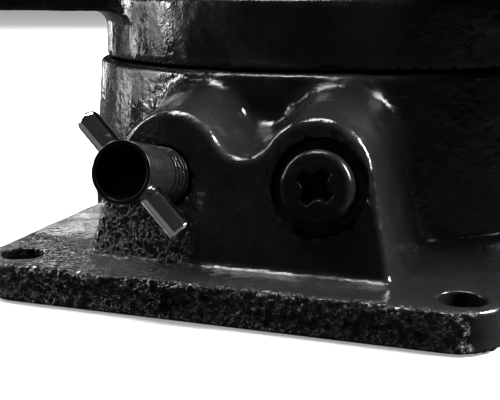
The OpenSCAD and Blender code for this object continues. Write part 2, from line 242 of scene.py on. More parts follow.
def crossings(value, levels):
    """One point in each grid cell that the surface passes: the mean of where it crosses cell edges."""
    cells = tuple(n - 1 for n in value.shape)
    total = np.zeros(cells + (3,), np.float32)
    count = np.zeros(cells, np.float32)
    for axis in range(3):
        ends = [slice(None)] * 3
        ends[axis] = slice(None, -1)
        low = value[tuple(ends)]
        ends[axis] = slice(1, None)
        high = value[tuple(ends)]
        crossed = (low < 0) != (high < 0)
        part = np.where(crossed, low / np.where(crossed, low - high, 1), 0)
        others = [a for a in range(3) if a != axis]
        for da in (0, 1):
            for db in (0, 1):
                pick = [slice(None)] * 3
                for other, d in zip(others, (da, db)):
                    pick[other] = slice(d, d + cells[other])
                hit, t = crossed[tuple(pick)], part[tuple(pick)]
                count += hit
                for a in range(3):
                    shape = [1, 1, 1]
                    shape[a] = -1
                    level = levels[a]
                    if a == axis:
                        at = level[:-1].reshape(shape) + t * np.diff(level).reshape(shape)
                    else:
                        d = da if a == others[0] else db
                        at = level[d : d + cells[a]].reshape(shape)
                    total[..., a] += hit * at
    active = count > 0
    return active, total[active] / count[active][:, None]


def sheets(value, index):
    """The quads of the surface: one round each grid edge that it crosses, facing out of the solid."""
    quads = []
    for axis in range(3):
        u, v = [a for a in range(3) if a != axis]
        if axis == 1:
            u, v = v, u
        inner = [slice(1, -1)] * 3
        inner[axis] = slice(None, -1)
        low = value[tuple(inner)] < 0
        inner[axis] = slice(1, None)
        high = value[tuple(inner)] < 0
        corners = []
        for du, dv in ((0, 0), (1, 0), (1, 1), (0, 1)):
            pick = [slice(None)] * 3
            pick[u] = slice(du, du + value.shape[u] - 2)
            pick[v] = slice(dv, dv + value.shape[v] - 2)
            corners.append(index[tuple(pick)])
        ring = np.stack(corners, axis=-1)
        quads.append(ring[low & ~high])
        quads.append(ring[~low & high][:, ::-1])
    return np.concatenate(quads)


def skin(name, field, detail, levels, node):
    """The surface where a distance field is zero, as one closed mesh.
    Each grid cell that the surface passes gets one point, at the mean of the edge crossings, and each
    crossed grid edge gets a quad of the four cells round it. Four steps down the field's slope then put
    every point on the surface of field less detail, inside the box of the CAD node, and the slope there
    is its normal."""
    grid = np.meshgrid(*levels, indexing="ij", sparse=True)
    value = np.broadcast_to(field(*grid), tuple(len(v) for v in levels)).astype(np.float32)
    active, points = crossings(value, levels)
    index = np.full(active.shape, -1, np.int64)
    index[active] = np.arange(len(points))
    quads = sheets(value, index)
    points = points.astype(float)

    def surface(x, y, z):
        return field(x, y, z) - detail(x, y, z)

    start = points.copy()
    reach = 0.9
    for _ in range(4):
        tilt = slope(surface, points, 0.02)
        size = np.maximum((tilt * tilt).sum(1), 0.25)
        points = points - tilt * (surface(*points.T) / size)[:, None]
        points = start + np.clip(points - start, -reach, reach)
    points = np.clip(points, *span(node))
    tilt = slope(surface, points, 0.12)
    tilt /= np.maximum(np.linalg.norm(tilt, axis=1), 1e-6)[:, None]
    return new_object(name, points, quads.tolist(), tilt)


# ---------------------------------------------------------------- the base casting


BORE_R = 40.0
WALL_R = 55.0
FOOT_R = BASE_HIGH[0]
RIM_Z = BASE_HIGH[2]
LUG_T = 6.7
LUG_HALF = 44.0
LUG_CORNER = 8.0
LUG_REACH = BASE_HIGH[1]
MOUNT_X, MOUNT_Y, MOUNT_R = 37.4, 78.6, 3.5
LOBE_X, LOBE_R, VALLEY_H = 12.6, 10.0, 3.5
TOP_SLOPE, FLANK_FLARE = math.radians(12), math.radians(15)
COUNTERBORE_R, COUNTERBORE_DEPTH = 7.9, 1.84
LOCK_HOLE_R = 5.25


def boss_outline(u, v):
    """Distance to the boss section: two round lobes over flaring flanks, with a round valley between."""
    valley_reach = LOBE_R - VALLEY_H
    valley_c = (LOBE_X**2 - valley_reach**2) / (2 * valley_reach)
    valley_r = valley_c - VALLEY_H
    meet = math.atan2(valley_c, LOBE_X)
    meet_u, meet_v = LOBE_X - LOBE_R * math.cos(meet), LOBE_R * math.sin(meet)
    u = np.abs(u)
    lobes = np.hypot(u - LOBE_X, v) - LOBE_R
    flank = (u - LOBE_X) * math.cos(FLANK_FLARE) + v * math.sin(FLANK_FLARE) - LOBE_R
    valley = both(valley_r - np.hypot(u, v - valley_c), v - meet_v)
    top = np.where(u < meet_u, valley, v - LOBE_R * math.sin(FLANK_FLARE))
    return either(lobes, both(flank, top))


def boss(x, y, z, edge):
    """Distance to the lock boss: its section runs back into the drum, and the leaning face cuts it off."""
    dy, dz = y - LOCK_FOOT[1], z - LOCK_FOOT[2]
    v = dz * math.cos(TOP_SLOPE) - dy * math.sin(TOP_SLOPE)
    face = dy * OUT[1] + dz * OUT[2]
    run = both(boss_outline(x, v), both(y + BORE_R + 2, z - RIM_Z + 1))
    return both(run, face, edge)


def base_field(x, y, z):
    """Distance to the base: a tapered drum, two lugs and the boss, filleted, less bore and holes."""
    sizes = bpy.context.scene.vise_castings
    around = np.hypot(x, y)
    spread = (FOOT_R - WALL_R) / (RIM_Z - LUG_T)
    wall = (around - FOOT_R + spread * np.maximum(z - LUG_T, 0)) / math.hypot(1, spread)
    drum = both(wall, z - RIM_Z, sizes.rim_edge)
    qx, qy = np.abs(x) - LUG_HALF + LUG_CORNER, np.abs(y) - LUG_REACH + LUG_CORNER
    plan = np.hypot(np.maximum(qx, 0), np.maximum(qy, 0)) + np.minimum(np.maximum(qx, qy), 0) - LUG_CORNER
    lugs = both(plan, z - LUG_T, 0.9)
    whole = either(drum, boss(x, y, z, sizes.face_edge), sizes.fillet)
    whole = either(whole, lugs, sizes.foot_fillet)
    whole = both(whole, -z, 0.5)
    whole = without(whole, around - BORE_R, 0.7)
    mount = np.hypot(np.abs(x) - MOUNT_X, np.abs(y) - MOUNT_Y) - MOUNT_R
    whole = without(whole, mount, 0.5)
    away, along = rod(x, y, z, LOCK_FOOT, OUT)
    whole = without(whole, both(away - LOCK_HOLE_R, -along - 40), 0.3)
    away, along = rod(x, y, z, KEEP_FOOT, OUT)
    return without(whole, both(away - COUNTERBORE_R, -along - COUNTERBORE_DEPTH), 0.25)


def base_detail(x, y, z):
    """How far the cast surface stands in or out: sand texture, rough sawn edges and chips at the holes."""
    sizes = bpy.context.scene.vise_castings
    outer = fade(np.hypot(x, y), BORE_R + 1.5, BORE_R + 4) * fade(z, 0.4, 1.6)
    sand = waves(x, y, z, 3.2, 3) + 0.6 * waves(x, y, z, 1.5, 4)
    slow = waves(x, y, z, 16, 5)
    low_left = fade(12 - x, 6, 30) * fade(LUG_T + 16 - z, 0, 10) * fade(-y, 60, 68)
    edge = fade(-y, LUG_REACH - 1.6, LUG_REACH - 0.3) * fade(LUG_T + 1 - z, 0, 1.2)
    texture = sizes.roughness * (sand * (0.45 + 1.1 * low_left) + 1.1 * slow - 1.6)
    texture = texture + edge * 0.2 * (waves(x, y, z, 2.0, 6) - 1.2)
    ragged = waves(x, y, z, 2.0, 8) + 0.7 * waves(x, y, z, 5.0, 9)
    dy, dz = y - LOCK_FOOT[1], z - LOCK_FOOT[2]
    near_face = fade(dy * OUT[1] + dz * OUT[2], -1.3, -0.2)
    chips = 0
    for foot, radius in ((LOCK_FOOT, LOCK_HOLE_R), (KEEP_FOOT, COUNTERBORE_R)):
        away, _ = rod(x, y, z, foot, OUT)
        ring = np.exp(-(((away - radius - 0.3) / 0.75) ** 2)) * near_face
        chips = chips + ring * np.minimum(ragged - 0.35, 0.25)
    return outer * np.minimum(texture, 0) + sizes.chips * chips


# ---------------------------------------------------------------- the castings above


BED_W, SLOT_W, WAY_T = 92.0, 24.0, 8.0
CHANNEL_W, CHANNEL_H = 44.0, 8.0
SKIRT_R, SKIRT_H = 53.5, 10.0
SKIRT_Z = RIM_Z + 0.1
BED_Z = SKIRT_Z + SKIRT_H
WAY_Z = PLATE_LOW[2] - 0.3
JAW_TOP = JAW_HIGH[2]
FIXED_X = PLATE_LOW[0]
BRACKET_T = 20.0
BUSH_R = 12.0
SET_SCREW_R = 2.55
SPIGOT_R, SPIGOT_WALL = 39.95, 11.0
GROOVE_Z, GROOVE_DEPTH = 12.6, 5.0
BACK_DROP, BACK_RUN = 16.0, 13.0
NOSE_R, NOSE_DEPTH = 6.0, 22.0
JAW_BOLT_X, JAW_BOLT_Y = 8.0, 7.4
JAW_BOLT_R, JAW_BOLT_HEAD_R, JAW_BOLT_SINK = 3.05, 5.3, 7.0
HUB_STUB_R, HUB_STUB_DEPTH = 6.1, 8.4
HUB_WAIST_X, HUB_WAIST_R = 8.6, 2.6
HUB_BAR_R = 5.1
HUB_PIN_X, HUB_PIN_R = 4.1, 1.55


def bed_plan(x, y, z):
    """Distance to the bed: wide ways with chamfered undersides over a narrower web."""
    away = np.abs(y)
    half, web, depth = BED_W / 2, BED_W / 2 - 6, WAY_Z - z
    ways = both(away - half, (away - half + depth - WAY_T - 2) / math.sqrt(2), 1.5)
    ways = both(ways, depth - WAY_T - 8)
    section = either(both(ways, -depth, 1.2), both(away - web, -depth), 3.0)
    return both(both(section, BED_Z - z), slab(x, BODY_LOW[0], BODY_HIGH[0], 2.0), 2.0)


def fixed_jaw(x, y, z):
    """Distance to the fixed jaw: a block whose back slopes down to a longer foot."""
    back = BODY_LOW[0]
    slant = (back - x) * BACK_DROP + (z - JAW_TOP + BACK_DROP) * BACK_RUN
    slant = slant / math.hypot(BACK_DROP, BACK_RUN)
    side = both(slab(y, PLATE_LOW[1], PLATE_HIGH[1]), slab(x, back, FIXED_X, 1.5), 2.5)
    return both(both(side, slant, 4.0), slab(z, BED_Z + 13, JAW_TOP), 1.5)


def bracket(x, y, z):
    """Distance to the end bracket: a round boss for the bush, on an upright over a plinth."""
    radius = BUSH_R + 8
    ends = slab(x, BODY_HIGH[0] - BRACKET_T, BODY_HIGH[0])
    ring = np.hypot(y, z - LEAD_Z) - radius
    upright = both(np.abs(y) - radius, slab(z, BED_Z, LEAD_Z))
    plinth = both(np.abs(y) - BED_W / 2, slab(z, BED_Z, WAY_Z + 4), 2.0)
    return both(either(either(ring, upright), plinth, 5.0), ends, 2.0)


def body_field(x, y, z):
    """Distance to the vise body: spigot, skirt, bed, jaw and bracket, less slot, channel and bores."""
    around = np.hypot(x, y)
    spigot = both(around - SPIGOT_R, slab(z, BODY_LOW[2], BED_Z), 1.0)
    groove = both(SPIGOT_R - GROOVE_DEPTH - around, np.abs(z - GROOVE_Z) - 6 + 0.4 * (SPIGOT_R - around))
    spigot = without(spigot, groove, 0.4)
    skirt = both(around - SKIRT_R, slab(z, SKIRT_Z, BED_Z + 3), 1.0)
    whole = either(skirt, bed_plan(x, y, z), 3.0)
    whole = either(whole, fixed_jaw(x, y, z), 2.5)
    whole = either(whole, bracket(x, y, z), 3.0)
    whole = either(whole, spigot)
    whole = without(whole, both(around - SPIGOT_R + SPIGOT_WALL, z - SKIRT_Z - 6), 0.8)
    start = FIXED_X + 8
    channel_z = WAY_Z - WAY_T - CHANNEL_H
    channel = both(np.abs(y) - CHANNEL_W / 2, both(slab(z, channel_z, channel_z + CHANNEL_H), start - x))
    slot = both(both(np.abs(y) - SLOT_W / 2, channel_z - z), slab(x, start, BODY_HIGH[0] - BRACKET_T - 3))
    whole = without(without(whole, channel, 0.5), slot, 0.8)
    bore = both(np.hypot(y, z - LEAD_Z) - BUSH_R - 0.05, BODY_HIGH[0] - BRACKET_T - 5 - x)
    whole = without(whole, bore, 0.4)
    middle = BODY_HIGH[0] - BRACKET_T / 2
    return without(whole, both(np.hypot(x - middle, y) - SET_SCREW_R, LEAD_Z - z), 0.3)


def machined(v, level):
    """1 at a machined level of v, falling to 0 a few millimetres away from it."""
    return np.exp(-(((v - level) / 1.5) ** 2))


def body_detail(x, y, z):
    """The sand texture of the vise body, kept inwards and off the machined ways, jaw seat and spigot."""
    sizes = bpy.context.scene.vise_castings
    off_seat = 1 - machined(x, FIXED_X)
    cast = fade(np.hypot(x, y), SPIGOT_R, SPIGOT_R + 1) * (1 - machined(z, WAY_Z)) * off_seat
    cast = np.maximum(cast, fade(z, WAY_Z + 2, WAY_Z + 6) * off_seat)
    cast = cast * fade(np.hypot(y, z - LEAD_Z), BUSH_R + 1, BUSH_R + 3)
    sand = waves(x, y, z, 3.6, 11) + 1.2 * waves(x, y, z, 18, 12)
    return cast * np.minimum(sizes.roughness * (0.6 * sand - 1.2), 0)


def jaw_field(x, y, z):
    """Distance to the moving jaw: a rounded block on a tongue, less its screw bore and bolt pockets."""
    top = both(slab(x, JAW_LOW[0], JAW_HIGH[0], 2.5), slab(y, JAW_LOW[1], JAW_HIGH[1]), 3.0)
    top = both(top, slab(z, WAY_Z + 0.1, JAW_TOP), 2.0)
    tongue = both(slab(x, JAW_LOW[0] + 2, JAW_HIGH[0] - 2), np.abs(y) - SLOT_W / 2 + 0.1, 0.8)
    whole = either(top, both(tongue, slab(z, JAW_LOW[2], WAY_Z + 4), 0.8))
    bore = both(np.hypot(y, z - LEAD_Z) - NOSE_R - 0.05, JAW_HIGH[0] - NOSE_DEPTH - x)
    whole = without(whole, bore, 0.4)
    bolt = np.hypot(x - JAW_LOW[0] - JAW_BOLT_X, np.abs(y) - JAW_BOLT_Y)
    whole = without(whole, bolt - JAW_BOLT_R)
    return without(whole, both(bolt - JAW_BOLT_HEAD_R, JAW_TOP - JAW_BOLT_SINK - z), 0.5)


def jaw_detail(x, y, z):
    """The sand texture of the moving jaw, kept inwards and off its machined front, foot and bores."""
    sizes = bpy.context.scene.vise_castings
    cast = (1 - machined(x, JAW_LOW[0])) * fade(z, WAY_Z + 0.5, WAY_Z + 2)
    cast = cast * fade(np.hypot(y, z - LEAD_Z), 7, 9)
    sand = waves(x, y, z, 3.6, 13) + 1.2 * waves(x, y, z, 18, 14)
    return cast * np.minimum(sizes.roughness * (0.6 * sand - 1.2), 0)


def hub_field(x, y, z):
    """Distance to the handle hub: a waisted barrel, less its bores for the screw, bar and pin."""
    away = np.hypot(y, z - LEAD_Z)
    radius = HUB_HIGH[1]
    barrel = both(away - radius, slab(x, HUB_LOW[0], HUB_HIGH[0]), 2.2)
    waist = np.hypot(x - HUB_LOW[0] - HUB_WAIST_X, away - radius - 1.6) - HUB_WAIST_R
    whole = without(barrel, waist, 0.5)
    whole = without(whole, both(away - HUB_STUB_R, x - HUB_LOW[0] - HUB_STUB_DEPTH), 0.4)
    bar_x = (BAR_LOW[0] + BAR_HIGH[0]) / 2
    whole = without(whole, np.hypot(x - bar_x, z - LEAD_Z) - HUB_BAR_R, 0.6)
    return without(whole, np.hypot(x - HUB_LOW[0] - HUB_PIN_X, y) - HUB_PIN_R, 0.3)


def no_relief(x, y, z):
    """No relief: the surface is left as its field gives it."""
    return 0.0 * (x + y + z)


# ---------------------------------------------------------------- turned pieces


def square_to(axis):
    """Two unit vectors square to an axis and to each other."""
    first = SIDE if abs(axis[0]) < 0.9 else np.array([0.0, 0.0, 1.0])
    first = first - axis * (first @ axis)
    first /= np.linalg.norm(first)
    return first, np.cross(axis, first)


def rounded(corners, steps=5):
    """A profile through corners (along, radius, rounding), with each corner turned into an arc.
    The arc starts and ends where a circle of that rounding touches the two straight runs. Each point
    keeps the outward normal of its run, and along an arc the normal turns evenly."""
    places = np.array([corner[:2] for corner in corners], float)
    runs = np.diff(places, axis=0)
    runs /= np.linalg.norm(runs, axis=1)[:, None]
    square = np.stack([-runs[:, 1], runs[:, 0]], axis=1)
    points, normals = [places[:1]], [square[:1]]
    for i in range(1, len(corners) - 1):
        a, b = square[i - 1], square[i]
        turn = math.atan2(a[0] * b[1] - a[1] * b[0], a @ b)
        back = corners[i][2] * math.tan(abs(turn) / 2)
        t = turn * np.linspace(0, 1, steps)
        arc = np.stack([a[0] * np.cos(t) - a[1] * np.sin(t), a[0] * np.sin(t) + a[1] * np.cos(t)], axis=1)
        start = places[i] - runs[i - 1] * back
        centre = start + math.copysign(corners[i][2], turn) * a
        points.append(centre - math.copysign(corners[i][2], turn) * arc)
        normals.append(arc)
    points.append(places[-1:])
    normals.append(square[-1:])
    return np.concatenate(points), np.concatenate(normals)


def turned(name, along, radius, out, foot, axis, turns):
    """A surface of revolution: a profile of places along an axis and radii, carried round it.
    The first and last points lie on the axis and become the poles. Out holds the profile's normals."""
    first, second = square_to(axis)
    angle = np.linspace(0, 2 * np.pi, turns, endpoint=False)
    spoke = np.cos(angle)[:, None] * first + np.sin(angle)[:, None] * second
    if radius.ndim == 1:
        radius = radius[:, None] * np.ones(turns)
    body = foot + along[1:-1, None, None] * axis + radius[1:-1, :, None] * spoke
    poles = foot + along[[0, -1], None] * axis
    points = np.concatenate([body.reshape(-1, 3), poles])
    if out is None:
        up = np.gradient(body, axis=0)
        around = np.roll(body, -1, axis=1) - np.roll(body, 1, axis=1)
        tilt = np.cross(around, up)
    else:
        tilt = out[1:-1, 0, None, None] * axis + out[1:-1, 1, None, None] * spoke
    tilt = tilt / np.linalg.norm(tilt, axis=2)[..., None]
    if (tilt * spoke).sum() < 0 and out is None:
        tilt = -tilt
    normals = np.concatenate([tilt.reshape(-1, 3), [-axis, axis]])
    count = len(along) - 2
    i, j = np.meshgrid(np.arange(count - 1), np.arange(turns), indexing="ij")
    k = (j + 1) % turns
    quads = np.stack([i * turns + j, i * turns + k, (i + 1) * turns + k, (i + 1) * turns + j], axis=-1)
    ring = np.arange(turns)
    after = (ring + 1) % turns
    start, end = count * turns, count * turns + 1
    low = np.stack([np.full(turns, start), after, ring], axis=1)
    high = np.stack([np.full(turns, end), (count - 1) * turns + ring, (count - 1) * turns + after], axis=1)
    faces = quads.reshape(-1, 4).tolist() + low.tolist() + high.tolist()
    return new_object(name, points, faces, normals)


def spun(name, corners, foot, axis, turns, steps):
    """A turned piece from the corners of its profile."""
    points, normals = rounded(corners, steps)
    return turned(name, points[:, 0], points[:, 1], normals, foot, axis, turns)


def helix(along, angle, pitch):
    """How far a point lies from the middle of the nearest crest of a thread, from 0 to 0.5 of a pitch."""
    place = (along / pitch - angle / (2 * np.pi)) % 1.0
    return 0.5 - np.abs(place - 0.5)


LOCK_R, LOCK_OUT, CUP_R, CUP_DEPTH = 5.0, 15.4, 4.33, 2.0
BAR_SETBACK, BAR_R, BAR_L, BAR_TURN = 4.2, 1.95, 25.0, math.radians(46.5)


def lock_screw():
    """The lock screw: a plain shank with a cupped end, and a helical thread where it enters the boss."""
    sizes = bpy.context.scene.vise_screws
    points, _ = rounded(
        [
            (-12, 0, 0.2),
            (-12, LOCK_R - 0.5, 0.2),
            (-11.3, LOCK_R, 0.2),
            (LOCK_OUT, LOCK_R, 0.22),
            (LOCK_OUT, CUP_R, 0.15),
            (LOCK_OUT - CUP_DEPTH, CUP_R - 0.25, 0.5),
            (LOCK_OUT - CUP_DEPTH, 0, 0.2),
        ],
        9,
    )
    along, radius = points.T
    shank = np.argmax(along > 0)
    fine = np.arange(-11, sizes.lock_threaded + 2.0, sizes.lock_pitch / 16)
    low = along < -11
    rest = np.linspace(fine[-1] + 0.3, LOCK_OUT - 0.5, 12)
    along = np.concatenate([along[low], fine, rest, along[shank:]])
    radius = np.concatenate([radius[low], np.full(len(fine) + len(rest), LOCK_R), radius[shank:]])
    angle = np.linspace(0, 2 * np.pi, 128, endpoint=False)
    pitch, end = sizes.lock_pitch, sizes.lock_threaded
    run_out = fade(along, -11 - 0.2 * pitch, -11 + 0.6 * pitch) * fade(end - along, 0, 0.5 * pitch)
    cut = 0.62 * pitch * fade(helix(along[:, None], angle, pitch), 0.11, 0.445) * run_out[:, None]
    first, second = square_to(OUT)
    spoke = np.cos(angle)[:, None] * first + np.sin(angle)[:, None] * second
    spots = LOCK_FOOT + along[:, None, None] * OUT + radius[:, None, None] * spoke
    x, y, z = np.moveaxis(spots, -1, 0)
    at_crests = fade(along, -1, 1) * fade(7 - along, 0, 2)
    wear = 0.05 * waves(x, y, z, 1.6, 21) * fade(radius, 2.5, 4)[:, None]
    wear = wear + 0.1 * at_crests[:, None] * np.minimum(waves(x, y, z, 1.1, 22), 0)
    radius = radius[:, None] - cut * (radius[:, None] > LOCK_R - 0.1) + np.minimum(wear, 0)
    return turned("lock_screw_skin", along, radius, None, LOCK_FOOT, OUT, 128)


def paint_cup_shade(piece):
    """Gives the faces inside the cup of the lock screw the second finish, a near-black painted shade for
    the recess.
    """
    mesh = piece.data
    mesh.materials.append(FINISHES["cup_painted_shade"]())
    centre = np.zeros(3 * len(mesh.polygons))
    mesh.polygons.foreach_get("center", centre)
    away, along = rod(*(centre.reshape(-1, 3).T / MM), LOCK_FOOT, OUT)
    inside = (away < CUP_R - 0.02) & (along > LOCK_OUT - CUP_DEPTH - 0.5)
    mesh.polygons.foreach_set("material_index", inside.astype(np.int32))


def lock_bar():
    """The tommy bar: a polished pin with one domed end and one flat end with a small chamfer."""
    middle = LOCK_FOOT + (LOCK_OUT - BAR_SETBACK) * OUT
    way = math.sin(BAR_TURN) * SIDE - math.cos(BAR_TURN) * UP
    half = BAR_L / 2
    corners = [
        (-half, 0, 0.5),
        (-half, BAR_R, 1.3),
        (half - 0.35, BAR_R, 0.12),
        (half, BAR_R - 0.35, 0.12),
        (half, 0, 0.1),
    ]
    return spun("lock_bar_skin", corners, middle, way, 72, 7)


HEAD_R, HEAD_H, HEAD_PROUD, RECESS_DEPTH = 6.0, 4.6, 2.76, 2.2
RECESS_TURN = math.radians(57)


def keep_field(x, y, z):
    """Distance to the pan head: a short rounded barrel on a shank, less a tapered cross recess."""
    away, along = rod(x, y, z, KEEP_FOOT, OUT)
    crown = HEAD_PROUD - 0.25 * (away / HEAD_R) ** 2
    head = both(both(away - HEAD_R, along - crown, 1.15), HEAD_PROUD - HEAD_H - along, 0.3)
    shank = both(away - 3.0, -5.0 - along)
    whole = either(head, both(shank, along))
    dx, dy, dz = x - KEEP_FOOT[0], y - KEEP_FOOT[1], z - KEEP_FOOT[2]
    v = dy * UP[1] + dz * UP[2]
    a = np.abs(dx * math.cos(RECESS_TURN) + v * math.sin(RECESS_TURN))
    b = np.abs(v * math.cos(RECESS_TURN) - dx * math.sin(RECESS_TURN))
    near, far = np.minimum(a, b), np.maximum(a, b)
    down = HEAD_PROUD - along
    wing = both(near - 1.02 + 0.16 * down + 0.02 * far, far - 3.3 + 0.45 * down, 0.25)
    web = (a + b - 3.1 + 0.7 * down) / math.sqrt(2)
    recess = either(wing, web, 0.45)
    recess = both(recess, down - RECESS_DEPTH)
    return without(whole, recess, 0.18)


def keep_detail(x, y, z):
    """Light hammer marks and wear on the head."""
    return 0.02 * np.minimum(waves(x, y, z, 1.7, 31), 0.2)


LEAD_R, NECK_R, STUB_R = 8.0, 4.0, 6.0


def lead_screw():
    """The lead screw: a turned nose and neck, then a trapezoid thread up to the stub in the hub."""
    sizes = bpy.context.scene.vise_screws
    nose, stub, end = LEAD_LOW[0], HUB_LOW[0] - 0.1, LEAD_HIGH[0]
    shoulder, collar = JAW_HIGH[0] - 0.1, JAW_HIGH[0] + 3.1
    points, _ = rounded(
        [
            (nose, 0, 0.2), (nose, NOSE_R, 0.4), (shoulder, NOSE_R, 0.2), (shoulder, NECK_R, 0.2),
            (collar, NECK_R, 0.2), (collar, LEAD_R, 0.4), (stub, LEAD_R, 0.4), (stub, STUB_R, 0.2),
            (end, STUB_R, 0.4), (end, 0, 0.2),
        ]
    )
    along, radius = points.T
    split = np.argmax((radius > LEAD_R - 0.1) & (along > collar + 1))
    fine = np.arange(collar + 0.6, stub - 0.6, sizes.lead_pitch / 12)
    along = np.concatenate([along[:split], fine, along[split:]])
    radius = np.concatenate([radius[:split], np.full(len(fine), LEAD_R), radius[split:]])
    angle = np.linspace(0, 2 * np.pi, 72, endpoint=False)
    cut = 1.9 * fade(helix(along[:, None], angle, sizes.lead_pitch), 0.17, 0.31)
    cut = cut * (fade(along, collar + 1, collar + 4) * fade(stub - along, 1, 4))[:, None]
    radius = radius[:, None] - cut * (radius[:, None] > LEAD_R - 0.1)
    return turned("lead_screw_skin", along, radius, None, np.array([0, 0, LEAD_Z]), SIDE, 72)


def handle_knob(name, side):
    """A handle knob: a rounded barrel bored out for the end of the bar."""
    bar_x, half = (BAR_LOW[0] + BAR_HIGH[0]) / 2, BAR_HIGH[1]
    foot = np.array([bar_x, side * (half - 9), LEAD_Z])
    corners = [
        (9.1, 0, 0.2), (9.1, 5.05, 0.2), (0, 5.05, 0.3), (0, 6.6, 1.0),
        (2.0, 8, 2.5), (10.6, 8, 3.2), (12, 4.5, 4.0), (12, 0, 0.2),
    ]
    return spun(name, corners, foot, np.array([0.0, side, 0.0]), 80, 7)


def handle_bar():
    """The handle bar: a plain polished rod with rounded ends."""
    foot = np.array([(BAR_LOW[0] + BAR_HIGH[0]) / 2, 0, LEAD_Z])
    half, radius = BAR_HIGH[1], (BAR_HIGH[2] - BAR_LOW[2]) / 2
    corners = [(-half, 0, 0.5), (-half, radius, 0.8), (half, radius, 0.8), (half, 0, 0.5)]
    return spun("handle_bar_skin", corners, foot, np.array([0.0, 1.0, 0.0]), 80, 6)


# ---------------------------------------------------------------- finishes


FINISH_TAIL = "_finish"


class Wire:
    """One output of a material's nodes. Arithmetic on wires and numbers adds Math nodes."""

    def __init__(self, socket):
        self.socket = socket

    def math(self, operation, first, second, clamp=False):
        node = self.socket.id_data.nodes.new("ShaderNodeMath")
        node.operation = operation
        node.use_clamp = clamp
        for slot, value in zip(node.inputs, (first, second)):
            feed(slot, value)
        return Wire(node.outputs[0])

    def __add__(self, other):
        return self.math("ADD", self, other)

    def __sub__(self, other):
        return self.math("SUBTRACT", self, other)

    def __mul__(self, other):
        return self.math("MULTIPLY", self, other)

    def __rsub__(self, other):
        return self.math("SUBTRACT", other, self)

    __radd__ = __add__
    __rmul__ = __mul__

    def clipped(self):
        return self.math("ADD", self, 0.0, clamp=True)


def feed(slot, value):
    """Links a wire to an input, or sets the input's own value."""
    if isinstance(value, Wire):
        value.socket.id_data.links.new(value.socket, slot)
    else:
        slot.default_value = value


class Finish:
    """A node material with one shader, and the pieces of pattern that several finishes share."""

    def __init__(self, name):
        self.material = bpy.data.materials.new(name + FINISH_TAIL)
        self.material.use_nodes = True
        self.nodes = self.material.node_tree.nodes
        self.shader = self.nodes["Principled BSDF"]
        self.place = self.add("ShaderNodeTexCoord", {}, {}, "Object")

    def add(self, kind, settings, inputs, output=0):
        """A node of a type, its settings set first, then the values or links of its inputs."""
        node = self.nodes.new(kind)
        for key, value in settings.items():
            setattr(node, key, value)
        for key, value in inputs.items():
            feed(node.inputs[key], value)
        return Wire(node.outputs[output])

    def set(self, **values):
        """Sets the shader's inputs, with _ standing for a space."""
        for key, value in values.items():
            feed(self.shader.inputs[key.replace("_", " ")], value)

    def stretched(self, scale, turn=(0.0, 0.0, 0.0)):
        """Object coordinates turned and then scaled along each axis."""
        turned_place = self.add("ShaderNodeMapping", {}, {"Vector": self.place, "Rotation": turn}, "Vector")
        return self.add("ShaderNodeMapping", {}, {"Vector": turned_place, "Scale": scale}, "Vector")

    def noise(self, size, detail=3.0, rough=0.55, vector=None):
        """Cloudy noise whose features are about size millimetres."""
        inputs = {"Vector": vector or self.place, "Scale": 1 / (size * MM)}
        inputs |= {"Detail": detail, "Roughness": rough}
        return self.add("ShaderNodeTexNoise", {}, inputs, "Fac")

    def cells(self, size):
        """Distance to the nearest of scattered points about size millimetres apart."""
        inputs = {"Vector": self.place, "Scale": 1 / (size * MM)}
        return self.add("ShaderNodeTexVoronoi", {}, inputs, "Distance")

    def step(self, value, low, high):
        """0 below low, 1 above high, smooth between."""
        inputs = {"Value": value, "From Min": low, "From Max": high}
        return self.add("ShaderNodeMapRange", {"interpolation_type": "SMOOTHSTEP"}, inputs, "Result")

    def blend(self, factor, a, b):
        """A colour between two colours."""
        return self.add("ShaderNodeMix", {"data_type": "RGBA"}, {0: factor, 6: a, 7: b}, 2)

    def relief(self, height, depth, normal=None):
        """A bump of a height between 0 and 1, depth millimetres deep."""
        inputs = {"Height": height, "Strength": 1.0, "Distance": depth * MM}
        if normal:
            inputs["Normal"] = normal
        return self.add("ShaderNodeBump", {}, inputs, "Normal")


def shade(colour, factor):
    """A colour made lighter or darker, with its alpha."""
    return tuple(c * factor for c in colour) + (1.0,)


